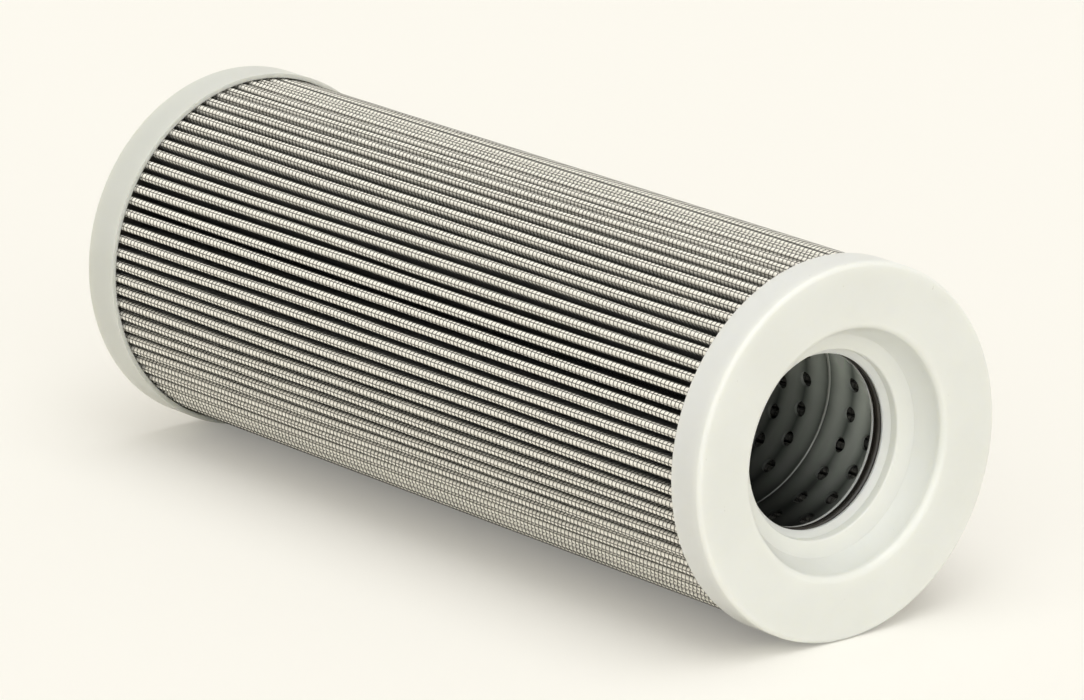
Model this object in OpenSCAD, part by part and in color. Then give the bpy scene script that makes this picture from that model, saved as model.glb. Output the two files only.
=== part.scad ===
// Pleated filter element for a hydraulic pressure line, standing on its closed end.
// The axis is Z, the closed end rests on z = 0 and the open end faces up.

/* [Element] */
// Outer diameter of both end caps
cap_d = 95; // [90:0.5:110]
// Overall length from closed face to open face
element_l = 248; // [150:1:400]
// Radius on the outer edge of each end cap
cap_edge_r = 1.2; // [0.8:0.1:2]
// Thickness of the moulded end cap walls
cap_wall = 2.4; // [1.6:0.1:2.6]
// Thickness of the end cap skirts beside the pleats
skirt_wall = 1.2; // [0.6:0.1:1.6]

/* [Open end cap] */
// Height of the open end cap at its outside
open_cap_h = 10.2; // [10:0.1:24]
// Depth of the pleat ends and tube end below the open face
open_seat_depth = 9.3; // [9.2:0.1:9.8]
// Diameter of the recess mouth below its lip, as a share of the cap diameter
mouth_share = 0.648; // [0.64:0.002:0.68]
// Radius of the rounded lip at the recess mouth
lip_r = 1.9; // [0.6:0.1:2.2]
// Depth of the upright wall below the open face
mouth_depth = 2.5; // [2.3:0.1:3]
// Place of the ledge between throat and mouth, as a share of the way out
ledge_share = 0.58; // [0.4:0.01:0.65]
// Depth of the ledge, where the steep cone meets the shallow cone
ledge_depth = 7.4; // [6.4:0.1:7.5]
// Depth of the edge at the top of the throat
throat_depth = 8.9; // [8.4:0.1:9.2]
// Radius on the edge at the top of the throat
throat_edge_r = 0.6; // [0.2:0.1:0.8]

/* [Sealing bore] */
// Radial thickness of the sleeve that holds the bore inside the core tube
sleeve_w = 5.7; // [5:0.1:6.2]
// Radial width of the lead-in chamfer
lead_in_w = 1.7; // [1.2:0.1:2]
// Depth of the start of the lead-in chamfer
lead_in_depth = 11.4; // [11:0.1:12.4]
// Length of the lead-in chamfer along the axis
lead_in_l = 1.1; // [0.6:0.1:1.2]
// Length of the plain land above the seal groove
land_l = 0.6; // [0.4:0.1:1.2]
// Width of the seal groove along the axis
groove_w = 2.9; // [2.6:0.1:3.4]
// Radial depth of the seal groove
groove_depth = 1.75; // [1.6:0.05:1.9]
// Length of the lip below the seal groove
lower_lip_l = 0.8; // [0.5:0.1:1.5]
// Cord diameter of the bore seal ring
seal_cord_d = 1.9; // [1.8:0.05:2.4]
// Radial clearance between seal ring and groove floor
seal_clear = 0.05; // [0:0.01:0.1]

/* [Closed end cap] */
// Height of the closed end cap at its outside
closed_cap_h = 11.2; // [9.5:0.1:14]
// Height of the pleat ends and tube end above the closed face
closed_seat_h = 8.6; // [6:0.1:9]
// Height of the tube centring ring above the closed face
spigot_h = 12; // [10:0.1:14]

/* [Core tube] */
// Inner diameter of the perforated core tube, as a share of the cap diameter
tube_share = 0.59; // [0.58:0.005:0.6]
// Sheet thickness of the core tube
tube_wall = 0.8; // [0.5:0.1:1.2]
// Radial clearance of the caps inside the core tube
tube_clear = 0.2; // [0.05:0.05:0.3]
// Width of the wound strip along the axis, one turn of the tube
strip_w = 35.2; // [24:0.2:48]
// Height of the strip's seam above the closed face where it starts
seam_start = 14.9; // [0:0.1:48]
// Rows of holes across the strip
strip_rows = 3; // [1:1:4]
// Holes in one turn of a row
row_holes = 22; // [8:1:24]
// Angle of the first hole in the first row
first_hole_a = 10.6; // [0:0.1:45]
// Shift from row to row, as a share of the space between holes
row_stagger = 0.33; // [0:0.01:1]
// Diameter of each hole
hole_d = 4; // [2:0.1:5]
// Plain length left at each end of the core tube
plain_end = 6; // [3:0.5:20]

/* [Pleats] */
// Number of pleats
pleats = 81; // [40:1:84]
// Radial clearance between pleat crests and cap skirts
crest_clear = 0.15; // [0.05:0.05:0.5]
// Radial clearance between pleat folds and core tube
fold_clear = 0.3; // [0.1:0.05:1]
// Outer radius of each crest
crest_r = 1.35; // [1:0.01:1.5]
// Thickness of the outer wire mesh
outer_mesh_t = 0.26; // [0.15:0.01:0.3]
// Thickness of the outer fleece
outer_fleece_t = 0.1; // [0.05:0.01:0.14]
// Thickness of the glass fibre media
media_t = 0.24; // [0.15:0.01:0.28]
// Thickness of the inner fleece
inner_fleece_t = 0.08; // [0.05:0.01:0.12]
// Thickness of the inner wire mesh
inner_mesh_t = 0.16; // [0.1:0.01:0.2]
// Smallest radius inside the folds near the core
fold_inside_r = 0.05; // [0.02:0.01:0.06]
// Radial width of the bond along the side seam, as a share of the pleat's height
bond_share = 0.75; // [0.4:0.05:0.85]

/* [Hidden] */

EDGE_STEPS = 6;
CREST_STEPS = 6;
FOLD_STEPS = 3;
ROUND_FN = 180;
HOLE_FN = 24;
CUT = 0.5;
BOND_CLEAR = 0.03;

cap_r = cap_d / 2;
skirt_in_r = cap_r - skirt_wall;
tube_in_r = cap_r * tube_share;
tube_out_r = tube_in_r + tube_wall;
spigot_r = tube_in_r - tube_clear;
bore_r = spigot_r - sleeve_w;
throat_r = bore_r + lead_in_w;
mouth_r = cap_r * mouth_share;
ledge_r = throat_r + (mouth_r - throat_r) * ledge_share;
groove_r = bore_r + groove_depth;
groove_top = element_l - lead_in_depth - lead_in_l - land_l;
groove_bottom = groove_top - groove_w;
sleeve_bottom = groove_bottom - lower_lip_l;
open_seat_z = element_l - open_seat_depth;
pack_l = open_seat_z - closed_seat_h;

// Laminate: offsets of the layer boundaries from the middle surface, outermost first
laminate_t = outer_mesh_t + outer_fleece_t + media_t + inner_fleece_t + inner_mesh_t;
mesh_out = laminate_t / 2;
mesh_in = mesh_out - outer_mesh_t;
fleece_in = mesh_in - outer_fleece_t;
media_in = fleece_in - media_t;
inner_fleece_in = media_in - inner_fleece_t;
laminate_in = -laminate_t / 2;

// Middle surface of one pleat: crest arc, straight flank, fold arc
pleat_a = 360 / pleats;
crest_mid_r = crest_r - laminate_t / 2;
fold_mid_r = fold_inside_r + laminate_t / 2;
crest_c = [skirt_in_r - crest_clear - crest_r, 0];
fold_c_r = tube_out_r + fold_clear + fold_mid_r + laminate_t / 2;
fold_c = fold_c_r * [cos(pleat_a / 2), sin(pleat_a / 2)];
flank = fold_c - crest_c;
flank_a = atan2(flank[1], flank[0]);
lean_a = asin((crest_mid_r + fold_mid_r) / norm(flank));
flank_normal_a = flank_a - 90 + lean_a;

function arc(c, r, a0, a1, steps) =
    [for (i = [0:steps]) c + r * [cos(a0 + (a1 - a0) * i / steps), sin(a0 + (a1 - a0) * i / steps)]];

function turned(points, a) =
    [for (p = points) [p[0] * cos(a) - p[1] * sin(a), p[0] * sin(a) + p[1] * cos(a)]];

// One pleat's line at an offset from the middle surface, from crest to the next fold
function pleat_line(off) = concat(
    arc(crest_c, crest_mid_r + off, -flank_normal_a, flank_normal_a, CREST_STEPS),
    arc(fold_c, fold_mid_r - off, flank_normal_a + 180, pleat_a - flank_normal_a + 180, FOLD_STEPS));

function pleat_ring(off) =
    [for (i = [0:pleats - 1]) each turned(pleat_line(off), i * pleat_a)];

module layer(off_out, off_in) {
    translate([0, 0, closed_seat_h])
        linear_extrude(pack_l)
            difference() {
                polygon(pleat_ring(off_out));
                polygon(pleat_ring(off_in));
            }
}

// Section of the potting under the open end cap, which is also the cap's hollow
open_hollow = [
    [spigot_r, open_seat_z],
    [ledge_r + cap_wall * 0.7, element_l - ledge_depth - cap_wall * 0.7],
    [mouth_r + cap_wall, element_l - mouth_depth - cap_wall * 0.4],
    [mouth_r + cap_wall, element_l - cap_wall],
    [skirt_in_r, element_l - cap_wall],
    [skirt_in_r, open_seat_z],
];

module open_end_cap() {
    color("gainsboro") rotate_extrude($fn = ROUND_FN)
        difference() {
            polygon(concat(
                [[cap_r, element_l - open_cap_h]],
                arc([cap_r - cap_edge_r, element_l - cap_edge_r], cap_edge_r, 0, 90, EDGE_STEPS),
                arc([mouth_r + lip_r, element_l - lip_r], lip_r, 90, 180, EDGE_STEPS),
                [[mouth_r, element_l - mouth_depth], [ledge_r, element_l - ledge_depth]],
                arc([throat_r + throat_edge_r, element_l - throat_depth - throat_edge_r],
                    throat_edge_r, 90, 180, EDGE_STEPS),
                [[throat_r, element_l - lead_in_depth],
                 [bore_r, element_l - lead_in_depth - lead_in_l],
                 [bore_r, groove_top], [groove_r, groove_top],
                 [groove_r, groove_bottom], [bore_r, groove_bottom],
                 [bore_r, sleeve_bottom], [spigot_r, sleeve_bottom],
                 [spigot_r, open_seat_z], [skirt_in_r, open_seat_z],
                 [skirt_in_r, element_l - open_cap_h]]));
            polygon(open_hollow);
        }
}

module closed_end_cap() {
    color("gainsboro") rotate_extrude($fn = ROUND_FN)
        polygon(concat(
            [[0, 0]],
            arc([cap_r - cap_edge_r, cap_edge_r], cap_edge_r, -90, 0, EDGE_STEPS),
            [[cap_r, closed_cap_h], [skirt_in_r, closed_cap_h],
             [skirt_in_r, cap_wall], [spigot_r, cap_wall],
             [spigot_r, spigot_h], [spigot_r - cap_wall, spigot_h],
             [spigot_r - cap_wall, cap_wall], [0, cap_wall]]));
}

module bore_seal_ring() {
    color("dimgray") rotate_extrude($fn = ROUND_FN)
        translate([groove_r - seal_clear - seal_cord_d / 2, (groove_top + groove_bottom) / 2])
            circle(d = seal_cord_d, $fn = HOLE_FN);
}

// Rows follow the wound strip and lie evenly spaced between one seam and the next
module core_tube() {
    row_w = strip_w / (strip_rows + 1);
    low = closed_seat_h + plain_end + hole_d / 2;
    high = open_seat_z - plain_end - hole_d / 2;
    turns = ceil(element_l / strip_w) + 3;
    color("lightslategray") difference() {
        translate([0, 0, closed_seat_h]) cylinder(r = tube_out_r, h = pack_l, $fn = ROUND_FN);
        translate([0, 0, closed_seat_h - CUT]) cylinder(r = tube_in_r, h = pack_l + 2 * CUT, $fn = ROUND_FN);
        for (row = [1:strip_rows], i = [0:turns * row_holes - 1]) {
            a = (i + (row - 1) * row_stagger) * 360 / row_holes + first_hole_a;
            z = seam_start + (a / 360 - 2) * strip_w + row * row_w;
            if (z >= low && z <= high)
                rotate([0, 0, a]) translate([tube_in_r - CUT, 0, z]) rotate([0, 90, 0])
                    cylinder(d = hole_d, h = tube_wall + 2 * CUT, $fn = HOLE_FN);
        }
    }
}

module open_end_potting() {
    color("darkslategray") rotate_extrude($fn = ROUND_FN) polygon(open_hollow);
}

module closed_end_potting() {
    color("darkslategray") rotate_extrude($fn = ROUND_FN)
        polygon([[spigot_r, cap_wall], [skirt_in_r, cap_wall],
                 [skirt_in_r, closed_seat_h], [spigot_r, closed_seat_h]]);
}

module outer_wire_mesh() {
    color("silver") layer(mesh_out, mesh_in);
}

module outer_fleece() {
    color("ivory") layer(mesh_in, fleece_in);
}

module glass_fibre_media() {
    color("white") layer(fleece_in, media_in);
}

module inner_fleece() {
    color("ivory") layer(media_in, inner_fleece_in);
}

module inner_wire_mesh() {
    color("silver") layer(inner_fleece_in, laminate_in);
}

// The sheet's two ends meet inside one crest and are bonded there along its whole length
module side_seam_bond() {
    gap = crest_mid_r + laminate_in;
    t = 2 * (min(gap, fold_c[1] - fold_mid_r + laminate_in) - BOND_CLEAR);
    bond_w = bond_share * (crest_c[0] - fold_c[0]);
    color("khaki") rotate([0, 0, pleat_a * floor(pleats / 2)])
        translate([crest_c[0] - bond_w, -t / 2, closed_seat_h]) cube([bond_w, t, pack_l]);
}

open_end_cap();
closed_end_cap();
bore_seal_ring();
core_tube();
open_end_potting();
closed_end_potting();
outer_wire_mesh();
outer_fleece();
glass_fibre_media();
inner_fleece();
inner_wire_mesh();
side_seam_bond();
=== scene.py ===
# %% [markdown]
# # A pleated pressure filter
# A filter element for hydraulic oil is a tall sheet of filter mat, folded into pleats and closed to a ring.
# A perforated steel tube holds it from inside, and two moulded caps close its ends.
# The CAD frame gives the places and the outer sizes. This lesson gives the element its visible
# surfaces: smooth caps, soft fleece pleats, real wires around them, rolled steel inside, and a pale
# studio.

# %% Load the frame
import math

import bpy
import numpy as np
from mathutils import Matrix, Vector


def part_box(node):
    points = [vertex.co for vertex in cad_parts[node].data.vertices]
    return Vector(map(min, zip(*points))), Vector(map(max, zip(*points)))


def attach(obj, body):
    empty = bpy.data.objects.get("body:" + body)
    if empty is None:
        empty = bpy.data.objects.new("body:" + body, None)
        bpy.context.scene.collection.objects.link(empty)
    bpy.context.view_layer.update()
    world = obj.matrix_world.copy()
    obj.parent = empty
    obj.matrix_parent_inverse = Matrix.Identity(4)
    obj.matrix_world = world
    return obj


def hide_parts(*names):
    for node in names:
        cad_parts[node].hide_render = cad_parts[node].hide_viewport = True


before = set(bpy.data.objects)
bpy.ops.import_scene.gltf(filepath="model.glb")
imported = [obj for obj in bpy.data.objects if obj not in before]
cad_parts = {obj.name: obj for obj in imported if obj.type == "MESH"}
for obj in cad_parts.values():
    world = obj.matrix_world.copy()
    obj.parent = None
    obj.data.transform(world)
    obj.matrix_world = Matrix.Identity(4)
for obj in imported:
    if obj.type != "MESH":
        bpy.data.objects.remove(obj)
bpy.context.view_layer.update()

MM = 0.001

# %% [markdown]
# ## Sizes
# Places that the frame knows are read from it, so the looks follow the CAD if it changes.
# Only the shapes inside a node's box, such as the recess of the open cap, are written again here.

# %% Sizes from the frame
cap_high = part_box("open_end_cap")[1]
closed_cap_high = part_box("closed_end_cap")[1]
tube_low, tube_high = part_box("core_tube")
LENGTH = cap_high.z
CAP_R = cap_high.x
SEAT_LOW, SEAT_HIGH = tube_low.z, tube_high.z
TUBE_OUT_R = tube_high.x
TUBE_WALL = 0.8 * MM
TUBE_IN_R = TUBE_OUT_R - TUBE_WALL
SKIRT_WALL = 1.2 * MM
SKIRT_IN_R = CAP_R - SKIRT_WALL
print("length in mm:", round(LENGTH / MM, 1))
print("pleats stand from", round(SEAT_LOW / MM, 1), "to", round(SEAT_HIGH / MM, 1), "mm")

# %% Sizes of the pleats
PLEATS = 81
PLEAT_A = 2 * math.pi / PLEATS
CREST_CLEAR = 0.15 * MM
FOLD_CLEAR = 0.3 * MM
CREST_R = 1.2 * MM
FOLD_INSIDE_R = 0.05 * MM
LAMINATE = 0.84 * MM
SEAM_PLEAT = PLEATS // 2

# %% [markdown]
# ## Camera
# The photograph shows the element lying on its side, seen with a long lens, open end towards us.
# The part itself stands on its closed end, so here the camera is turned instead of the part.
# Two angles say how the axis points in the picture, and the point in the middle of the open face
# says how far away it is and where it lies in the frame.

# %% Camera
PHOTO_W = 1084
FOCAL_PX = 7567
SENSOR_W = 36
YAW, PITCH = math.radians(40.33), math.radians(12.63)
FACE_POINT = Vector((74.13, 25.09, 1828.8)) * MM

axis = Vector((math.cos(PITCH) * math.sin(YAW), math.sin(PITCH), -math.cos(PITCH) * math.cos(YAW)))
floor_way = Vector((0, -axis.z, axis.y)).normalized()
side_way = floor_way.cross(axis)
to_photo = Matrix((side_way, floor_way, axis)).transposed()
eye = to_photo.transposed() @ (axis * LENGTH - FACE_POINT)

camera_data = bpy.data.cameras.new("photo_camera")
camera_data.sensor_width = SENSOR_W
camera_data.sensor_fit = "HORIZONTAL"
camera_data.lens = FOCAL_PX * SENSOR_W / PHOTO_W
camera_data.clip_start, camera_data.clip_end = 0.1, 50
camera = bpy.data.objects.new("photo_camera", camera_data)
bpy.context.collection.objects.link(camera)
photo_to_lens = Matrix(((1, 0, 0), (0, -1, 0), (0, 0, -1)))
camera.matrix_world = (photo_to_lens @ to_photo).transposed().to_4x4()
camera.location = eye
bpy.context.scene.camera = camera
print("lens", round(camera_data.lens, 1), "mm, eye", [round(v, 3) for v in eye])

# %% [markdown]
# ## Small helpers for node trees
# Shader trees and geometry trees are built the same way: make a node, set its options, then give each
# input either a plain value or another node's output.

# %% Node helpers
def feed(tree, socket, value):
    """Link an output to the socket, or set the socket's own value."""
    if isinstance(value, bpy.types.NodeSocket):
        tree.links.new(value, socket)
    else:
        socket.default_value = value


def add(tree, kind, inputs=None, **options):
    """A new node with its options set and its inputs fed."""
    made = tree.nodes.new(kind)
    for key, value in options.items():
        setattr(made, key, value)
    for key, value in (inputs or {}).items():
        feed(tree, made.inputs[key], value)
    return made


def calc(tree, operation, a, b=0.0, c=None):
    """A Math node; returns its output."""
    made = add(tree, "ShaderNodeMath", {0: a, 1: b}, operation=operation)
    if c is not None:
        feed(tree, made.inputs[2], c)
    return made.outputs[0]


def new_material(name):
    """An empty material with its shader and output joined; returns material, tree and shader."""
    material = bpy.data.materials.new(name)
    material.use_nodes = True
    tree = material.node_tree
    return material, tree, tree.nodes["Principled BSDF"]


def ramp(tree, factor, stops):
    """A Color Ramp from (position, colour) stops; returns its colour output."""
    made = add(tree, "ShaderNodeValToRGB", {"Fac": factor})
    elements = made.color_ramp.elements
    while len(elements) < len(stops):
        elements.new(0.5)
    for element, (place, colour) in zip(elements, stops):
        element.position = place
        element.color = (*colour, 1)
    return made.outputs["Color"]


def bump(tree, shader, height, distance, strength=1.0):
    """Bump from a height on the shader's normal."""
    made = add(tree, "ShaderNodeBump", {"Height": height, "Distance": distance, "Strength": strength})
    tree.links.new(made.outputs["Normal"], shader.inputs["Normal"])


# %% [markdown]
# ## Studio
# The photograph's table touches the lying cylinder along its lowest line. In the part's own frame that
# table is an upright plane beside the element. It shows only from its front, so a view from the other
# side looks straight through it. A camera ray sees a little glow in the paper, which softens the
# shadow in the picture and puts no light on the element.

# %% Studio colours and table
PAPER = (0.895, 0.88, 0.835)
ROOM = (0.96, 0.945, 0.89)
PLANE_HALF = 6.0
SHADOW_LIFT = 0.22


def one_sided(name, colour):
    """A matt paper, clear from behind, whose shadows look a little paler to the camera."""
    material, tree, shader = new_material(name)
    shader.inputs["Base Color"].default_value = (*colour, 1)
    shader.inputs["Roughness"].default_value = 0.9
    shader.inputs["Specular IOR Level"].default_value = 0.1
    glow = add(tree, "ShaderNodeEmission", {"Color": (*ROOM, 1), "Strength": 1.0})
    camera_ray = add(tree, "ShaderNodeLightPath").outputs["Is Camera Ray"]
    lift = calc(tree, "MULTIPLY", camera_ray, SHADOW_LIFT)
    front = add(tree, "ShaderNodeMixShader", {"Fac": lift})
    tree.links.new(shader.outputs[0], front.inputs[1])
    tree.links.new(glow.outputs[0], front.inputs[2])
    clear = add(tree, "ShaderNodeBsdfTransparent")
    side = add(tree, "ShaderNodeNewGeometry")
    mix = add(tree, "ShaderNodeMixShader", {"Fac": side.outputs["Backfacing"]})
    tree.links.new(front.outputs[0], mix.inputs[1])
    tree.links.new(clear.outputs[0], mix.inputs[2])
    tree.links.new(mix.outputs[0], tree.nodes["Material Output"].inputs["Surface"])
    return material


def stage_plane(name, centre, normal, material):
    """A large square plane that faces along normal."""
    turn = Vector(normal).to_track_quat("Z", "Y").to_matrix()
    corners = [(-1, -1), (1, -1), (1, 1), (-1, 1)]
    mesh = bpy.data.meshes.new(name)
    points = [Vector(centre) + turn @ Vector((x * PLANE_HALF, y * PLANE_HALF, 0)) for x, y in corners]
    mesh.from_pydata(points, [], [(0, 1, 2, 3)])
    mesh.materials.append(material)
    plane = bpy.data.objects.new(name, mesh)
    bpy.context.collection.objects.link(plane)


paper = one_sided("studio_paper", PAPER)
stage_plane("photo_table", (0, CAP_R, 0), (0, -1, 0), paper)

# %% [markdown]
# ## Light
# A pale world fills the shadows, one soft sun shines down on the lying element, and a second one
# comes from the camera's side. Camera, glass and metal see a brighter room than the one that lights
# the element, so the backdrop is pale while colours render about as they are written.

# %% World
WORLD_TINT = (1.0, 0.93, 0.82, 1)
WORLD_STRENGTH = 0.52

world = bpy.data.worlds.new("soft_room")
bpy.context.scene.world = world
world.use_nodes = True
sky_tree = world.node_tree
background = sky_tree.nodes["Background"]
background.inputs["Color"].default_value = WORLD_TINT
background.inputs["Strength"].default_value = WORLD_STRENGTH
seen = add(sky_tree, "ShaderNodeBackground", {"Color": (*ROOM, 1), "Strength": 1.0})
path = add(sky_tree, "ShaderNodeLightPath")
either = calc(sky_tree, "MAXIMUM", path.outputs["Is Camera Ray"], path.outputs["Is Transmission Ray"])
either = calc(sky_tree, "MAXIMUM", either, path.outputs["Is Glossy Ray"])
sky_mix = add(sky_tree, "ShaderNodeMixShader", {"Fac": either})
sky_tree.links.new(background.outputs[0], sky_mix.inputs[1])
sky_tree.links.new(seen.outputs[0], sky_mix.inputs[2])
sky_tree.links.new(sky_mix.outputs[0], sky_tree.nodes["World Output"].inputs["Surface"])

# %% Lamps
LAMP_TINT = (0.98, 1.0, 1.0)


def sun(name, toward, strength, softness):
    """A soft sun that shines along toward, in the part's frame."""
    data = bpy.data.lights.new(name, "SUN")
    data.energy = strength
    data.angle = math.radians(softness)
    data.color = LAMP_TINT
    lamp = bpy.data.objects.new(name, data)
    lamp.rotation_euler = Vector(toward).to_track_quat("-Z", "Y").to_euler()
    bpy.context.collection.objects.link(lamp)
    print(name, "strength", strength, "and", softness, "degrees wide")


def photo_way(right, down, away):
    """A direction given as in the photograph, turned into the part's frame."""
    return to_photo.transposed() @ Vector((right, down, away))


sun("key_light", photo_way(-0.1, 1.0, 0.5), 1.35, 55)
sun("fill_light", photo_way(-0.05, 0.25, 1.0), 1.15, 60)
bpy.context.scene.view_settings.view_transform = "Standard"

# %% [markdown]
# ## Moulded caps
# Both caps are pale moulded plastic, turned forms with rounded edges. A lathe in mesh code fits them:
# one outline, turned in fine steps, gives rounder edges than the CAD's facets. The outline repeats the
# CAD section, so the solid stays where it was.

# %% Lathe
def arc(centre, radius, start, end, steps):
    """Points on an arc, angles in degrees."""
    turns = [math.radians(start + (end - start) * i / steps) for i in range(steps + 1)]
    return [(centre[0] + radius * math.cos(a), centre[1] + radius * math.sin(a)) for a in turns]


def smooth(mesh, angle=35):
    """Smooth shading that keeps the corners sharper than angle."""
    mesh.shade_smooth()
    mesh.set_sharp_from_angle(angle=math.radians(angle))


def lathe(name, outline, steps):
    """Turn a closed outline of (radius, height) in mm round Z. Points on the axis become poles."""
    points, rows = [], []
    for r, z in outline:
        if r < 1e-6:
            rows.append([len(points)] * steps)
            points.append((0, 0, z * MM))
            continue
        rows.append(list(range(len(points), len(points) + steps)))
        turns = [2 * math.pi * i / steps for i in range(steps)]
        points += [(r * MM * math.cos(a), r * MM * math.sin(a), z * MM) for a in turns]
    faces = []
    for low, high in zip(rows, rows[1:] + rows[:1]):
        if low[0] == low[1] and high[0] == high[1]:
            continue
        for i in range(steps):
            j = (i + 1) % steps
            corners = [low[i], low[j], high[j], high[i]]
            faces.append(list(dict.fromkeys(corners)))
    mesh = bpy.data.meshes.new(name)
    mesh.from_pydata(points, [], faces)
    smooth(mesh)
    made = bpy.data.objects.new(name, mesh)
    bpy.context.collection.objects.link(made)
    return made


def finish_piece(piece, material, slot, *nodes):
    """Give a finished piece its material, its body and the CAD nodes it stands for. The slot is not used.
    """
    if not piece.data.materials:
        piece.data.materials.append(material)
    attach(piece, "root")
    if nodes:
        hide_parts(*nodes)
    print(piece.name, len(piece.data.loops) - 2 * len(piece.data.polygons), "triangles")


# %% Cap sizes in mm
# Radii first, then depths below the open face
TOP = LENGTH / MM
CAP = CAP_R / MM
SKIRT = SKIRT_IN_R / MM
OPEN_H, CLOSED_H = 10.2, 11.2
TUBE_PLAY = 0.2
SPIGOT = TUBE_IN_R / MM - TUBE_PLAY
SPIGOT_TOP = closed_cap_high.z / MM
WALL = 2.4
WALL_ASLANT, WALL_STEEP = WALL * 0.7, WALL * 0.4
EDGE, LIP, THROAT_EDGE = 1.2, 1.9, 0.6
MOUTH_SHARE, LEDGE_SHARE = 0.648, 0.58
SLEEVE, GROOVE_STEP, THROAT_STEP = 5.7, 1.75, 1.7
MOUTH = CAP * MOUTH_SHARE
BORE = SPIGOT - SLEEVE
GROOVE = BORE + GROOVE_STEP
THROAT = BORE + THROAT_STEP
LEDGE = THROAT + (MOUTH - THROAT) * LEDGE_SHARE
CONE_STARTS, CONE_ENDS = 2.5, 7.4
THROAT_STARTS, THROAT_ENDS = 9.5, 11.4
BORE_STARTS = 12.5
GROOVE_STARTS, GROOVE_ENDS = 13.1, 16
SLEEVE_ENDS = 16.8
ROUND_STEPS = 10
THROAT_EDGE_STEPS = 6

# %% Cap outlines
open_outline = [
    (CAP, TOP - OPEN_H),
    *arc((CAP - EDGE, TOP - EDGE), EDGE, 0, 90, ROUND_STEPS),
    *arc((MOUTH + LIP, TOP - LIP), LIP, 90, 180, ROUND_STEPS),
    (MOUTH, TOP - CONE_STARTS),
    (LEDGE, TOP - CONE_ENDS),
    *arc((THROAT + THROAT_EDGE, TOP - THROAT_STARTS), THROAT_EDGE, 90, 180, THROAT_EDGE_STEPS),
    (THROAT, TOP - THROAT_ENDS),
    (BORE, TOP - BORE_STARTS),
    (BORE, TOP - GROOVE_STARTS),
    (GROOVE, TOP - GROOVE_STARTS),
    (GROOVE, TOP - GROOVE_ENDS),
    (BORE, TOP - GROOVE_ENDS),
    (BORE, TOP - SLEEVE_ENDS),
    (SPIGOT, TOP - SLEEVE_ENDS),
    (SPIGOT, SEAT_HIGH / MM),
    (LEDGE + WALL_ASLANT, TOP - CONE_ENDS - WALL_ASLANT),
    (MOUTH + WALL, TOP - CONE_STARTS - WALL_STEEP),
    (MOUTH + WALL, TOP - WALL),
    (SKIRT, TOP - WALL),
    (SKIRT, TOP - OPEN_H),
]
closed_outline = [
    (0, 0),
    *arc((CAP - EDGE, EDGE), EDGE, -90, 0, ROUND_STEPS),
    (CAP, CLOSED_H),
    (SKIRT, CLOSED_H),
    (SKIRT, WALL),
    (SPIGOT, WALL),
    (SPIGOT, SPIGOT_TOP),
    (SPIGOT - WALL, SPIGOT_TOP),
    (SPIGOT - WALL, WALL),
    (0, WALL),
]
print(len(open_outline), "points in the open cap's outline,", len(closed_outline), "in the closed cap's")

# %% [markdown]
# ### The rubber
# The ring in the bore is dark rubber with a soft shine. The groove behind it gets the same dark finish
# on its faces, as painted shade.

# %% Rubber
def rubber_finish():
    """Nearly black, a little uneven, with a soft shine."""
    material, tree, shader = new_material("seal_rubber")
    place = add(tree, "ShaderNodeTexCoord").outputs["Object"]
    cloud = add(tree, "ShaderNodeTexNoise", {"Vector": place, "Scale": 300, "Detail": 3}).outputs["Fac"]
    tone = ramp(tree, cloud, [(0.3, (0.018, 0.016, 0.014)), (0.7, (0.036, 0.031, 0.026))])
    tree.links.new(tone, shader.inputs["Base Color"])
    bump(tree, shader, cloud, 0.00003, 0.3)
    shader.inputs["Roughness"].default_value = 0.38
    return material


rubber_and_groove_shade = rubber_finish()

# %% [markdown]
# ### The plastic
# Moulded plastic of this kind is pale and a little green-grey, satin, with a very fine grain and a few
# specks. Noise on Object coordinates gives both, at the size of the real marks. A little light goes
# through thin plastic, so it has some subsurface glow. The closed cap gets the same plastic in darker
# tones, as painted shade.

# %% Cap plastic
SPECK_TONE = (0.5, 0.5, 0.44, 1)
GLOW_RADIUS = (0.005, 0.0048, 0.004)


def cap_plastic(name, dark, light):
    """Satin plastic between two close tones, with a fine grain and grey specks."""
    material, tree, shader = new_material(name)
    place = add(tree, "ShaderNodeTexCoord").outputs["Object"]
    cloud = add(tree, "ShaderNodeTexNoise", {"Vector": place, "Scale": 55, "Detail": 4})
    tint = ramp(tree, cloud.outputs["Fac"], [(0.35, dark), (0.65, light)])
    speck = add(tree, "ShaderNodeTexNoise", {"Vector": place, "Scale": 620, "Detail": 2})
    spots = ramp(tree, speck.outputs["Fac"], [(0.2, (0.5, 0.5, 0.5)), (0.24, (0, 0, 0))])
    dots = add(tree, "ShaderNodeMix", {"Factor": spots, "A": tint, "B": SPECK_TONE}, data_type="RGBA")
    tree.links.new(dots.outputs["Result"], shader.inputs["Base Color"])
    grain = add(tree, "ShaderNodeTexNoise", {"Vector": place, "Scale": 1800, "Detail": 3})
    bump(tree, shader, grain.outputs["Fac"], 0.00004, 0.35)
    shader.inputs["Roughness"].default_value = 0.32
    shader.inputs["Subsurface Weight"].default_value = 0.6
    shader.inputs["Subsurface Scale"].default_value = 1.0
    shader.inputs["Subsurface Radius"].default_value = GLOW_RADIUS
    return material


# %% Turn the caps
LATHE_STEPS = 288
MARGIN = 0.1

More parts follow.
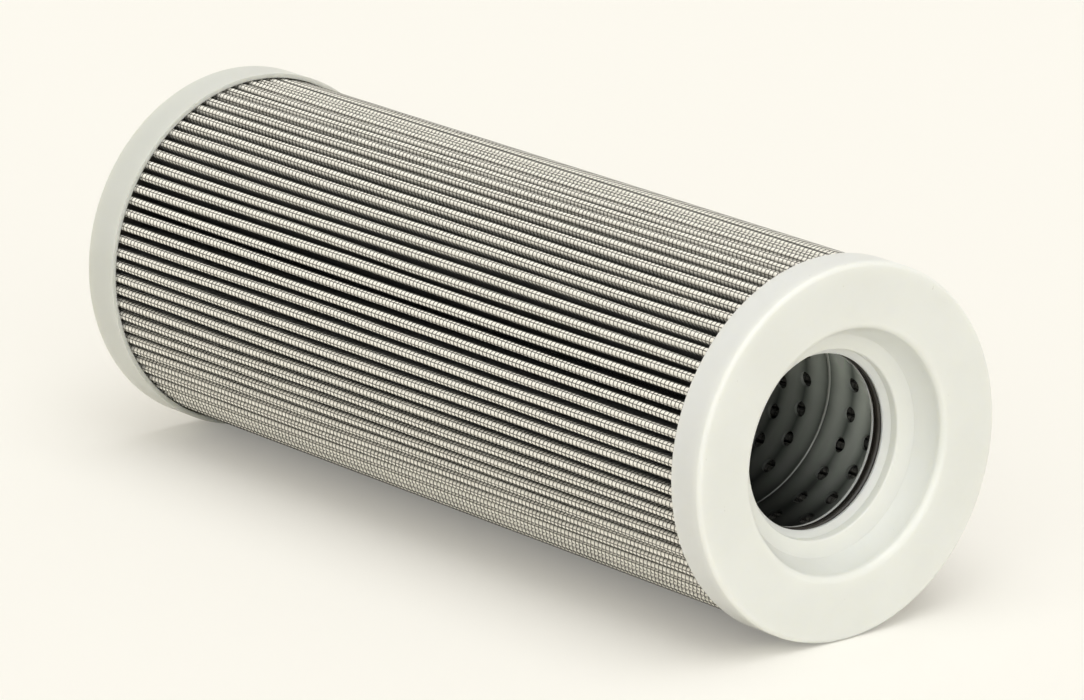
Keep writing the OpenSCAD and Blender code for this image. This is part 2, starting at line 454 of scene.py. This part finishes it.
pale = cap_plastic("cap_plastic", (0.75, 0.765, 0.72), (0.775, 0.79, 0.745))
# The closed cap's darker tones are painted shade on the same plastic.
closed_shaded_plastic = cap_plastic("closed_cap_shaded_plastic", (0.62, 0.635, 0.58), (0.645, 0.66, 0.605))
open_cap = lathe("open_cap_moulding", open_outline, LATHE_STEPS)
open_cap.data.materials.append(pale)
# The dark rubber also goes on the groove's faces, as painted shade.
open_cap.data.materials.append(rubber_and_groove_shade)
for face in open_cap.data.polygons:
    spot = face.center / MM
    in_reach = BORE < math.hypot(spot.x, spot.y) < GROOVE
    depth = TOP - spot.z
    if in_reach and GROOVE_STARTS - MARGIN < depth < GROOVE_ENDS + MARGIN:
        face.material_index = 1
finish_piece(open_cap, pale, "cap_plastic", "open_end_cap")
closed_cap = lathe("closed_cap_moulding", closed_outline, LATHE_STEPS)
finish_piece(closed_cap, closed_shaded_plastic, "cap_plastic", "closed_end_cap")

# %% [markdown]
# ## One pleat
# Each pleat is a crest arc, two straight flanks and half a fold arc at either side. The same formula
# serves every layer of the mat and every wire on it: only the offset from the middle surface differs.

# %% Line of one pleat
FINE_STEPS = (24, 6)

crest_mid_r = CREST_R - LAMINATE / 2
fold_mid_r = FOLD_INSIDE_R + LAMINATE / 2
crest_x = SKIRT_IN_R - CREST_CLEAR - CREST_R
fold_r = TUBE_OUT_R + FOLD_CLEAR + fold_mid_r + LAMINATE / 2
fold_at = (fold_r * math.cos(PLEAT_A / 2), fold_r * math.sin(PLEAT_A / 2))
flank = (fold_at[0] - crest_x, fold_at[1])
flank_a = math.atan2(flank[1], flank[0])
lean_a = math.asin((crest_mid_r + fold_mid_r) / math.hypot(*flank))
normal_a = math.degrees(flank_a - math.pi / 2 + lean_a)


def half_pleat(off, crest_steps, fold_steps):
    """From the middle of a crest to the middle of the next fold, in metres."""
    crest = arc((crest_x, 0), crest_mid_r + off, 0, normal_a, crest_steps)
    fold = arc(fold_at, fold_mid_r - off, normal_a + 180, math.degrees(PLEAT_A / 2) + 180, fold_steps)
    return crest + fold


def run_along(points):
    """Distance from the first point along the line."""
    steps = [math.dist(a, b) for a, b in zip(points, points[1:])]
    return [0.0, *np.cumsum(steps)]


sheet_run = run_along(half_pleat(0, *FINE_STEPS))[-1]
print("one pleat takes", round(2 * sheet_run / MM, 1), "mm of mat")

# %% [markdown]
# ## Uneven pleats
# Hand-packed pleats never stand quite straight: their crests wander sideways by a few tenths of a
# millimetre. One node group gives every layer and wire the same wander, so they stay together.
# It finds a point's pleat from its angle, and noise along the height gives the shift. The pleat that
# holds the side seam is stiff and stays straight.

# %% Wander group
LEAN = 0.30 * MM
SEED = 4.7
SWING = 4.0
PLEAT_STEP = 7.31
HEIGHT_RATE = 14.0
STIFF_BAND = 0.5
WANDER_SOCKETS = {"Pleats": "Float", "Lean": "Float", "Seed": "Float"}
WANDER_VALUES = {"Pleats": float(PLEATS), "Lean": LEAN, "Seed": SEED}


def new_tree(name, sockets):
    """A geometry tree with a geometry input and output, and further inputs by name and kind."""
    tree = bpy.data.node_groups.new(name, "GeometryNodeTree")
    tree.interface.new_socket("Geometry", in_out="INPUT", socket_type="NodeSocketGeometry")
    tree.interface.new_socket("Geometry", in_out="OUTPUT", socket_type="NodeSocketGeometry")
    for socket, kind in sockets.items():
        tree.interface.new_socket(socket, in_out="INPUT", socket_type="NodeSocket" + kind)
    return tree, add(tree, "NodeGroupInput").outputs, add(tree, "NodeGroupOutput").inputs


def pleat_number(tree, place, pleats):
    """The number of the pleat that a point belongs to, from its angle."""
    xyz = add(tree, "ShaderNodeSeparateXYZ", {0: place}).outputs
    angle = calc(tree, "ARCTAN2", xyz["Y"], xyz["X"])
    turns = calc(tree, "DIVIDE", angle, 2 * math.pi)
    return calc(tree, "ROUND", calc(tree, "MULTIPLY", turns, pleats)), xyz


def wander_group():
    """Moves crests sideways by noise along the height, not at all down at the folds."""
    tree, given, result = new_tree("wander", WANDER_SOCKETS)
    place = add(tree, "GeometryNodeInputPosition").outputs[0]
    number, xyz = pleat_number(tree, place, given["Pleats"])
    flat = add(tree, "ShaderNodeCombineXYZ", {"X": xyz["X"], "Y": xyz["Y"]}).outputs[0]
    radius = add(tree, "ShaderNodeVectorMath", {0: flat}, operation="LENGTH").outputs["Value"]
    share = add(tree, "ShaderNodeMapRange", {
        "Value": radius, "From Min": fold_r + fold_mid_r + LAMINATE / 2, "From Max": crest_x})
    spot = add(tree, "ShaderNodeCombineXYZ", {
        "X": calc(tree, "MULTIPLY", number, PLEAT_STEP),
        "Y": calc(tree, "MULTIPLY", xyz["Z"], HEIGHT_RATE), "Z": given["Seed"]}).outputs[0]
    noise = add(tree, "ShaderNodeTexNoise", {"Vector": spot, "Scale": 1.0, "Detail": 1.5}).outputs["Fac"]
    swing = calc(tree, "MULTIPLY", calc(tree, "SUBTRACT", noise, 0.5), SWING)
    stiff = calc(tree, "COMPARE", number, float(SEAM_PLEAT), STIFF_BAND)
    loose = calc(tree, "SUBTRACT", 1.0, stiff)
    amount = calc(tree, "MULTIPLY", calc(tree, "MULTIPLY", swing, given["Lean"]),
                  calc(tree, "MULTIPLY", share.outputs[0], loose))
    across = add(tree, "ShaderNodeCombineXYZ", {
        "X": calc(tree, "MULTIPLY", xyz["Y"], -1.0), "Y": xyz["X"]}).outputs[0]
    across = add(tree, "ShaderNodeVectorMath", {0: across}, operation="NORMALIZE").outputs[0]
    shift = add(tree, "ShaderNodeVectorMath", {0: across, "Scale": amount}, operation="SCALE").outputs[0]
    moved = add(tree, "GeometryNodeSetPosition", {"Geometry": given["Geometry"], "Offset": shift})
    tree.links.new(moved.outputs[0], result["Geometry"])
    return tree


wander = wander_group()


def add_wander(tree, geometry, given):
    """The wander group inside another tree; returns the moved geometry."""
    made = add(tree, "GeometryNodeGroup", node_tree=wander)
    feed(tree, made.inputs["Geometry"], geometry)
    for socket in WANDER_SOCKETS:
        feed(tree, made.inputs[socket], given[socket])
    return made.outputs[0]


def grow(name, base, tree, values):
    """Run a geometry tree on a base mesh and keep the result as a plain mesh."""
    made = bpy.data.objects.new(name, base)
    bpy.context.collection.objects.link(made)
    modifier = made.modifiers.new("grow", "NODES")
    modifier.node_group = tree
    for item in tree.interface.items_tree:
        if item.item_type == "SOCKET" and item.in_out == "INPUT" and item.name in values:
            modifier[item.identifier] = values[item.name]
    bpy.context.view_layer.update()
    depsgraph = bpy.context.evaluated_depsgraph_get()
    mesh = bpy.data.meshes.new_from_object(made.evaluated_get(depsgraph))
    made.modifiers.remove(modifier)
    made.data = mesh
    mesh.name = name
    return made


# %% [markdown]
# ## Layers of the mat
# The mat is a sandwich: wire mesh outside, fleece, glass fibre, fleece, and wire mesh towards the core.
# A short mesh function makes the band of one pleat. A Geometry Nodes tree then turns copies of it round
# the axis, joins them to one closed ring and lets it wander. Every point also keeps how far it lies along
# the mat and how high, because the weave pattern of the finish follows the mat and not the room.

# %% Band of one pleat
WEAVE = 1.44 * MM
LEVELS = 11


def band(name, out_off, in_off, crest_steps, fold_steps):
    """A closed band of one pleat between two offsets, open only where it meets its neighbours."""
    sides = []
    for off in (out_off, in_off):
        half = half_pleat(off, crest_steps, fold_steps)
        runs = run_along(half)
        line = [(x, -y, -u) for (x, y), u in zip(half[:0:-1], runs[:0:-1])]
        line += [(x, y, u) for (x, y), u in zip(half, runs)]
        sides.append(line)
    count = len(sides[0])
    heights = [SEAT_LOW + (SEAT_HIGH - SEAT_LOW) * i / (LEVELS - 1) for i in range(LEVELS)]
    points, runs = [], []
    for side in sides:
        for z in heights:
            points += [(x, y, z) for x, y, _ in side]
            runs += [u for _, _, u in side]
    block = count * LEVELS
    faces = []
    for k in range(LEVELS - 1):
        for i in range(count - 1):
            a = k * count + i
            faces.append((a, a + 1, a + 1 + count, a + count))
            faces.append((block + a, block + a + count, block + a + 1 + count, block + a + 1))
    top = (LEVELS - 1) * count
    for i in range(count - 1):
        faces.append((i, block + i, block + i + 1, i + 1))
        faces.append((top + i, top + i + 1, block + top + i + 1, block + top + i))
    mesh = bpy.data.meshes.new(name)
    mesh.from_pydata(points, [], faces)
    mesh.attributes.new("run", "FLOAT", "POINT").data.foreach_set("value", runs)
    return mesh


# %% Ring of pleats
WELD = 0.002 * MM
GOLDEN = 0.618


def copies_round(tree, geometry, first, count, pleats):
    """One copy a pleat, from the first pleat on, turned round the axis and made real."""
    spots = add(tree, "GeometryNodeMeshLine", {"Count": count, "Offset": (0, 0, 0)})
    number = calc(tree, "ADD", add(tree, "GeometryNodeInputIndex").outputs[0], first)
    turn = calc(tree, "DIVIDE", calc(tree, "MULTIPLY", number, 2 * math.pi), pleats)
    spin = add(tree, "ShaderNodeCombineXYZ", {"Z": turn}).outputs[0]
    copies = add(tree, "GeometryNodeInstanceOnPoints", {
        "Points": spots.outputs[0], "Instance": geometry, "Rotation": spin})
    return add(tree, "GeometryNodeRealizeInstances", {"Geometry": copies.outputs[0]}).outputs[0]


def end_tree(tree, geometry, given, result):
    """Set the material and hand the geometry to the tree's output."""
    painted = add(tree, "GeometryNodeSetMaterial", {"Geometry": geometry, "Material": given["Material"]})
    tree.links.new(painted.outputs[0], result["Geometry"])


def mat_tree():
    """Band of one pleat in; closed ring of pleats out, with the weave's counts on its points."""
    tree, given, result = new_tree("pleated_mat", {**WANDER_SOCKETS, "Material": "Material"})
    real = copies_round(tree, given["Geometry"], 0.0, PLEATS, given["Pleats"])
    welded = add(tree, "GeometryNodeMergeByDistance", {"Geometry": real, "Distance": WELD})
    place = add(tree, "GeometryNodeInputPosition").outputs[0]
    number, xyz = pleat_number(tree, place, given["Pleats"])
    run = add(tree, "GeometryNodeInputNamedAttribute", {"Name": "run"}, data_type="FLOAT")
    golden = calc(tree, "FRACT", calc(tree, "MULTIPLY", number, GOLDEN))
    phase = calc(tree, "MULTIPLY", calc(tree, "SUBTRACT", golden, 0.5), WEAVE)
    along = calc(tree, "ADD", run.outputs["Attribute"], phase)
    weave = add(tree, "ShaderNodeCombineXYZ", {"X": along, "Y": xyz["Z"], "Z": run.outputs["Attribute"]})
    stored = add(tree, "GeometryNodeStoreNamedAttribute", {
        "Geometry": welded.outputs[0], "Name": "weave", "Value": weave.outputs[0]},
        data_type="FLOAT_VECTOR", domain="POINT")
    end_tree(tree, add_wander(tree, stored.outputs[0], given), given, result)
    return tree


pleated_mat = mat_tree()
print("mat tree has", len(pleated_mat.nodes), "nodes")

# %% [markdown]
# ### Fleece and inner mesh
# Between the wires the fleece swells a little, so each opening of the mesh holds a small pale pillow
# with a dark rim of painted shade where it meets the wires. Deeper than the visible zone the wires are
# drawn in colour only, and painted shade darkens the flanks. The pattern counts along the mat, so it
# bends round crests and folds as the real weave does.

# %% Finishes of the mat
def weave_cells(tree, pitch):
    """Share of a cell across and up, 0 on a wire and 1 in the middle, and the run from the crest."""
    weave = add(tree, "ShaderNodeAttribute", attribute_name="weave")
    xyz = add(tree, "ShaderNodeSeparateXYZ", {0: weave.outputs["Vector"]}).outputs
    cells = []
    for way in ("X", "Y"):
        phase = calc(tree, "MULTIPLY", xyz[way], math.pi / pitch)
        cells.append(calc(tree, "ABSOLUTE", calc(tree, "SINE", phase)))
    depth = calc(tree, "ABSOLUTE", xyz["Z"])
    return cells[0], cells[1], depth


# Painted shade on the flanks begins at the first run from the crest and is full at the second.
SHADE_FROM, SHADE_TO = 1.25 * MM, 3.0 * MM
FOLD_SHADE_TONE = (0.03, 0.032, 0.028, 1)


def fleece_finish():
    """Pale pillows with dark rims of painted shade, and painted shade down the flanks."""
    material, tree, shader = new_material("white_fleece")
    across, up, depth = weave_cells(tree, WEAVE)
    pillow = calc(tree, "SMOOTH_MIN", across, up, 0.15)
    place = add(tree, "ShaderNodeTexCoord").outputs["Object"]
    fibre = add(tree, "ShaderNodeTexNoise", {"Vector": place, "Scale": 2600, "Detail": 4}).outputs["Fac"]
    height = calc(tree, "ADD", pillow, calc(tree, "MULTIPLY", fibre, 0.25))
    bump(tree, shader, height, 0.00022, 0.9)
    # The darkest lines are the wires drawn in colour, and the dark rims of the pillows beside them are
    # painted shade.
    shade = ramp(tree, pillow, [
        (0.12, (0.05, 0.05, 0.045)), (0.34, (0.9, 0.87, 0.79)), (0.9, (0.96, 0.94, 0.87))])
    # Painted shade down the flanks, darkest towards the folds.
    depth_shade = add(tree, "ShaderNodeMapRange", {"Value": depth, "From Min": SHADE_FROM, "From Max": SHADE_TO})
    fold_shaded = add(tree, "ShaderNodeMix", {"Factor": depth_shade.outputs[0], "A": shade, "B": FOLD_SHADE_TONE},
               data_type="RGBA")
    tree.links.new(fold_shaded.outputs["Result"], shader.inputs["Base Color"])
    shader.inputs["Roughness"].default_value = 0.95
    shader.inputs["Specular IOR Level"].default_value = 0.2
    shader.inputs["Sheen Weight"].default_value = 0.15
    return material


def glass_finish():
    """White, matt and fibrous."""
    material, tree, shader = new_material("glass_mat")
    place = add(tree, "ShaderNodeTexCoord").outputs["Object"]
    fibre = add(tree, "ShaderNodeTexNoise", {"Vector": place, "Scale": 1500, "Detail": 6}).outputs["Fac"]
    tone = ramp(tree, fibre, [(0.3, (0.72, 0.72, 0.69)), (0.7, (0.9, 0.9, 0.88))])
    tree.links.new(tone, shader.inputs["Base Color"])
    bump(tree, shader, fibre, 0.0001, 0.5)
    shader.inputs["Roughness"].default_value = 0.9
    return material


def inner_mesh_finish():
    """Dull woven wire, drawn in colour and bump."""
    material, tree, shader = new_material("inner_weave")
    across, up, _ = weave_cells(tree, WEAVE)
    wire = calc(tree, "MINIMUM", across, up)
    tone = ramp(tree, wire, [
        (0.15, (0.04, 0.04, 0.037)), (0.45, (0.09, 0.09, 0.08)), (1.0, (0.15, 0.148, 0.135))])
    tree.links.new(tone, shader.inputs["Base Color"])
    bump(tree, shader, calc(tree, "SUBTRACT", 1.0, wire), 0.00015, 0.8)
    shader.inputs["Roughness"].default_value = 0.6
    return material


# %% Make the layers
MESH_T, FLEECE_T, MEDIA_T, INNER_FLEECE_T = 0.26 * MM, 0.10 * MM, 0.24 * MM, 0.08 * MM
SWELL = 0.08 * MM
FOLD_STEPS = 3
ROUND_ANGLE = 60

mesh_in = LAMINATE / 2 - MESH_T
fleece_in = mesh_in - FLEECE_T
media_in = fleece_in - MEDIA_T
inner_fleece_in = media_in - INNER_FLEECE_T
fleece_white, glass_white, inner_weave = fleece_finish(), glass_finish(), inner_mesh_finish()

layers = [
    ("fleece_pleats", mesh_in + SWELL, fleece_in, 9, fleece_white, "fleece", "outer_fleece"),
    ("media_pleats", fleece_in, media_in, 5, glass_white, "glass_fibre", "glass_fibre_media"),
    ("inner_fleece_pleats", media_in, inner_fleece_in, 5, fleece_white, "fleece", "inner_fleece"),
    ("inner_mesh_pleats", inner_fleece_in, -LAMINATE / 2, 5, inner_weave, "wire_mesh", "inner_wire_mesh"),
]
for name, out_off, in_off, crest_steps, material, slot_name, node_name in layers:
    one = band(name + "_band", out_off, in_off, crest_steps, FOLD_STEPS)
    ring = grow(name, one, pleated_mat, {**WANDER_VALUES, "Material": material})
    smooth(ring.data, ROUND_ANGLE)
    finish_piece(ring, material, slot_name, node_name)

# %% [markdown]
# ## Outer wires
# The outer mesh is woven from fine round wire. Ring wires run round the pack and over every crest, and
# upright wires run along it. Only the outer few millimetres of a pleat can be seen, so the wires are
# made there. A wire is a line swept by a small triangle, which is plenty at this size, and two trees
# repeat it: up the element for the ring wires, and at every crossing for the upright ones.

# %% Wire line over one crest
WIRED_RUN = 4.6 * MM
WIRE_D = 0.22 * MM
WIRE_SIDES = 3
WIRE_CREST_STEPS = 5
RING_OFF = LAMINATE / 2 - WIRE_D / 2
WIRES_APART = 0.55
UPRIGHT_OFF = RING_OFF - WIRE_D * WIRES_APART
SECTORS = 5


def point_at(run, off):
    """The point at a distance along the mat from the crest's middle, at an offset, and on its own side."""
    half = half_pleat(off, *FINE_STEPS)
    runs = run_along(half)
    x = np.interp(abs(run), runs, [p[0] for p in half])
    y = np.interp(abs(run), runs, [p[1] for p in half])
    return x, math.copysign(y, run)


def crest_line():
    """The ring wire's line: round the crest and down both flanks."""
    crest = arc((crest_x, 0), crest_mid_r + RING_OFF, -normal_a, normal_a, WIRE_CREST_STEPS)
    end = point_at(WIRED_RUN, RING_OFF)
    line = [(end[0], -end[1]), *crest, end]
    mesh = bpy.data.meshes.new("crest_line")
    mesh.from_pydata([(x, y, 0) for x, y in line], [(i, i + 1) for i in range(len(line) - 1)], [])
    return mesh


# %% Ring wire tree
def round_wire(tree, line, diameter, sides):
    """A line mesh swept to a closed round wire."""
    curve = add(tree, "GeometryNodeMeshToCurve", {"Mesh": line})
    radius = calc(tree, "DIVIDE", diameter, 2.0)
    section = add(tree, "GeometryNodeCurvePrimitiveCircle", {"Resolution": sides, "Radius": radius})
    swept = add(tree, "GeometryNodeCurveToMesh", {
        "Curve": curve.outputs[0], "Profile Curve": section.outputs[0], "Fill Caps": True})
    return swept.outputs[0]


def ring_wire_tree():
    """Line over one crest in; wires stacked up the element and repeated for some pleats out."""
    tree, given, result = new_tree("ring_wires", {
        **WANDER_SOCKETS, "Wire Diameter": "Float", "Pitch": "Float", "First Height": "Float",
        "Rows": "Int", "First Pleat": "Int", "Count": "Int", "Material": "Material"})
    wire = round_wire(tree, given["Geometry"], given["Wire Diameter"], WIRE_SIDES)
    start = add(tree, "ShaderNodeCombineXYZ", {"Z": given["First Height"]}).outputs[0]
    step = add(tree, "ShaderNodeCombineXYZ", {"Z": given["Pitch"]}).outputs[0]
    column = add(tree, "GeometryNodeMeshLine", {
        "Count": given["Rows"], "Start Location": start, "Offset": step})
    stack = add(tree, "GeometryNodeInstanceOnPoints", {
        "Points": column.outputs[0], "Instance": wire})
    real = copies_round(tree, stack.outputs[0], given["First Pleat"], given["Count"], given["Pleats"])
    end_tree(tree, add_wander(tree, real, given), given, result)
    return tree


# %% Upright wire tree
def upright_wire_tree():
    """Points in; a wire up the whole pack at each of them out."""
    tree, given, result = new_tree("upright_wires", {
        **WANDER_SOCKETS, "Wire Diameter": "Float", "Bottom": "Float", "Length": "Float",
        "Levels": "Int", "Material": "Material"})
    start = add(tree, "ShaderNodeCombineXYZ", {"Z": given["Bottom"]}).outputs[0]
    steps = calc(tree, "SUBTRACT", given["Levels"], 1.0)
    rise = calc(tree, "DIVIDE", given["Length"], steps)
    step = add(tree, "ShaderNodeCombineXYZ", {"Z": rise}).outputs[0]
    line = add(tree, "GeometryNodeMeshLine", {
        "Count": given["Levels"], "Start Location": start, "Offset": step})
    wire = round_wire(tree, line.outputs[0], given["Wire Diameter"], WIRE_SIDES)
    copies = add(tree, "GeometryNodeInstanceOnPoints", {"Points": given["Geometry"], "Instance": wire})
    real = add(tree, "GeometryNodeRealizeInstances", {"Geometry": copies.outputs[0]})
    end_tree(tree, add_wander(tree, real.outputs[0], given), given, result)
    return tree


# %% Wire finish
def wire_finish():
    """Dark, dull steel with a trace of grime."""
    material, tree, shader = new_material("mesh_wire")
    place = add(tree, "ShaderNodeTexCoord").outputs["Object"]
    grime = add(tree, "ShaderNodeTexNoise", {"Vector": place, "Scale": 90, "Detail": 3}).outputs["Fac"]
    tone = ramp(tree, grime, [(0.35, (0.07, 0.07, 0.062)), (0.7, (0.15, 0.15, 0.135))])
    tree.links.new(tone, shader.inputs["Base Color"])
    shader.inputs["Metallic"].default_value = 0.6
    shader.inputs["Roughness"].default_value = 0.5
    return material


wire_dark = wire_finish()

# %% Make the ring wires
FIRST_ROW_CLEAR = 0.2

ring_wires, upright_wires = ring_wire_tree(), upright_wire_tree()
crest_base = crest_line()
rows = int((SEAT_HIGH - SEAT_LOW) / WEAVE)
first_row = math.ceil(SEAT_LOW / WEAVE + FIRST_ROW_CLEAR) * WEAVE
per_sector = math.ceil(PLEATS / SECTORS)
for sector in range(SECTORS):
    first = sector * per_sector
    count = min(per_sector, PLEATS - first)
    values = {**WANDER_VALUES, "Wire Diameter": WIRE_D, "Pitch": WEAVE, "First Height": first_row,
              "Rows": rows - 1, "First Pleat": first, "Count": count, "Material": wire_dark}
    piece = grow(f"ring_wires_{sector + 1}", crest_base, ring_wires, values)
    finish_piece(piece, wire_dark, "wire_mesh", "outer_wire_mesh")

# %% Make the upright wires
UPRIGHTS = 4


def upright_points():
    """Where the upright wires stand: one weave apart along the mat, counted on from pleat to pleat."""
    points = []
    for i in range(PLEATS):
        number = i if i <= PLEATS // 2 else i - PLEATS
        phase = ((number * GOLDEN) % 1.0 - 0.5) * WEAVE
        for k in range(-UPRIGHTS, UPRIGHTS + 1):
            run = k * WEAVE - phase
            if abs(run) > WIRED_RUN:
                continue
            x, y = point_at(run, UPRIGHT_OFF)
            a = i * PLEAT_A
            points.append((x * math.cos(a) - y * math.sin(a), x * math.sin(a) + y * math.cos(a), 0))
    mesh = bpy.data.meshes.new("upright_points")
    mesh.from_pydata(points, [], [])
    return mesh


values = {**WANDER_VALUES, "Wire Diameter": WIRE_D, "Bottom": SEAT_LOW, "Length": SEAT_HIGH - SEAT_LOW,
          "Levels": LEVELS, "Material": wire_dark}
piece = grow("upright_wires", upright_points(), upright_wires, values)
finish_piece(piece, wire_dark, "wire_mesh", "outer_wire_mesh")

# %% [markdown]
# ## Core tube and seam
# The core is a strip of thin steel, punched with rows of holes and wound like a spring, with its edges
# folded together. Inside, that fold shows as a fine bright line, drawn in lighter steel as a painted
# highlight. The CAD tube keeps its true holes and gets a rolled-steel finish with painted bands of
# reflection along the strip. Painted shade darkens it deep in the tube and on its lower side, and
# painted light brightens its upper side. The line is a spiral swept by a small rounded section.

# %% Steel finishes
STRIP_W = 35.2 * MM
SEAM_START = 14.9 * MM
REFLECTION_BANDS = 4
# Between these heights painted shade darkens the steel towards the deep end of the tube.
SHADE_DEEP, SHADE_NEAR = LENGTH - 85 * MM, LENGTH - 25 * MM
ROLLED_GRAIN = (400, 400, 2500)


def painted_strip_reflections(tree, place):
    """0 on the line of a hole row or seam and 1 halfway to the next, along the wound strip, for painted
    bands of reflection.
    """
    xyz = add(tree, "ShaderNodeSeparateXYZ", {0: place}).outputs
    angle = calc(tree, "DIVIDE", calc(tree, "ARCTAN2", xyz["Y"], xyz["X"]), 2 * math.pi)
    turns = calc(tree, "DIVIDE", calc(tree, "SUBTRACT", xyz["Z"], SEAM_START), STRIP_W)
    spread = calc(tree, "MULTIPLY", calc(tree, "SUBTRACT", turns, angle), math.pi * REFLECTION_BANDS)
    return calc(tree, "ABSOLUTE", calc(tree, "SINE", spread))


def steel_finish(name, dark, light, metallic, roughness):
    """Rolled steel between two tones, with painted bands of reflection along the strip, painted shade deep
    in the tube and on its lower side, and painted light on its upper side.
    """
    material, tree, shader = new_material(name)
    place = add(tree, "ShaderNodeTexCoord").outputs["Object"]
    cloud = add(tree, "ShaderNodeTexNoise", {"Vector": place, "Scale": 60, "Detail": 4}).outputs["Fac"]
    # Half of the tone is painted bands of reflection along the strip, and half is random tone.
    share = calc(tree, "MULTIPLY_ADD", painted_strip_reflections(tree, place), 0.5, calc(tree, "MULTIPLY", cloud, 0.5))
    tone = ramp(tree, share, [(0.25, dark), (0.75, light)])
    spot = add(tree, "ShaderNodeSeparateXYZ", {0: place}).outputs
    # Painted shade: the tone gets darker deeper in the tube.
    depth_shade = add(tree, "ShaderNodeMapRange", {
        "Value": spot["Z"], "From Min": SHADE_DEEP, "From Max": SHADE_NEAR, "To Min": 0.25, "To Max": 1.0})
    # Painted light on the upper side and painted shade on the lower side.
    low = add(tree, "ShaderNodeMapRange", {
        "Value": spot["Y"], "From Min": -TUBE_IN_R, "From Max": TUBE_IN_R, "To Min": 2.05, "To Max": 0.0})
    painted_light_and_shade = calc(tree, "MULTIPLY", depth_shade.outputs[0], low.outputs[0])
    tone_with_painted_light = add(tree, "ShaderNodeVectorMath", {0: tone, "Scale": painted_light_and_shade}, operation="SCALE")
    tree.links.new(tone_with_painted_light.outputs[0], shader.inputs["Base Color"])
    stretch = add(tree, "ShaderNodeMapping", {"Vector": place, "Scale": ROLLED_GRAIN})
    lines = add(tree, "ShaderNodeTexNoise", {"Vector": stretch.outputs[0], "Scale": 1.0, "Detail": 2})
    bump(tree, shader, lines.outputs["Fac"], 0.00003, 0.4)
    shader.inputs["Metallic"].default_value = metallic
    shader.inputs["Roughness"].default_value = roughness
    return material


tube_steel = steel_finish("rolled_steel", (0.22, 0.245, 0.225), (0.82, 0.87, 0.81), 0.2, 0.35)
# The seam is the tube's rolled steel in lighter tones: a painted highlight along the bead.
seam_highlight_steel = steel_finish("seam_highlight_steel", (0.70, 0.72, 0.68), (0.80, 0.82, 0.78), 0.6, 0.35)

# %% Spiral seam
SEAM_D = 0.8 * MM
SEAM_SIDES = 8
TURN_STEPS = 72
SEAM_LOW, SEAM_HIGH = SEAT_LOW + 4 * MM, LENGTH - 18.5 * MM


def seam_line():
    """The spiral where the strip's edges meet, on the tube's inner face."""
    count = int((SEAM_HIGH - SEAM_LOW) / STRIP_W * TURN_STEPS)
    points = []
    for i in range(count):
        z = SEAM_LOW + i * STRIP_W / TURN_STEPS
        a = (z - SEAM_START) / STRIP_W * 2 * math.pi
        points.append((TUBE_IN_R * math.cos(a), TUBE_IN_R * math.sin(a), z))
    mesh = bpy.data.meshes.new("seam_line")
    mesh.from_pydata(points, [(i, i + 1) for i in range(count - 1)], [])
    return mesh


def sweep_tree():
    """Line in; bead along it out."""
    tree, given, result = new_tree("swept_seam", {
        "Diameter": "Float", "Sides": "Int", "Material": "Material"})
    bead = round_wire(tree, given["Geometry"], given["Diameter"], given["Sides"])
    real = add(tree, "GeometryNodeRealizeInstances", {"Geometry": bead})
    end_tree(tree, real.outputs[0], given, result)
    return tree


values = {"Diameter": SEAM_D, "Sides": SEAM_SIDES, "Material": seam_highlight_steel}
seam = grow("core_tube_seam", seam_line(), sweep_tree(), values)
smooth(seam.data, ROUND_ANGLE)
finish_piece(seam, seam_highlight_steel, "core_steel")

# %% [markdown]
# ## Adhesives
# The adhesive that holds the pleat ends is dark and slightly glossy. It keeps its CAD solids, and so do
# the tube and the seal ring.

# %% Adhesive
def adhesive_finish():
    """Dark, slightly glossy, a little uneven."""
    material, tree, shader = new_material("cured_adhesive")
    place = add(tree, "ShaderNodeTexCoord").outputs["Object"]
    cloud = add(tree, "ShaderNodeTexNoise", {"Vector": place, "Scale": 120, "Detail": 4}).outputs["Fac"]
    tone = ramp(tree, cloud, [(0.3, (0.05, 0.047, 0.04)), (0.7, (0.09, 0.083, 0.07))])
    tree.links.new(tone, shader.inputs["Base Color"])
    bump(tree, shader, cloud, 0.0002, 0.5)
    shader.inputs["Roughness"].default_value = 0.35
    return material


adhesive = adhesive_finish()
for node_name, material in {
    "core_tube": tube_steel,
    "bore_seal_ring": rubber_and_groove_shade,
    "open_end_potting": adhesive,
    "closed_end_potting": adhesive,
    "side_seam_bond": adhesive,
}.items():
    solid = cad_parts[node_name]
    solid.data.materials.clear()
    solid.data.materials.append(material)
    print(node_name, "gets", material.name)
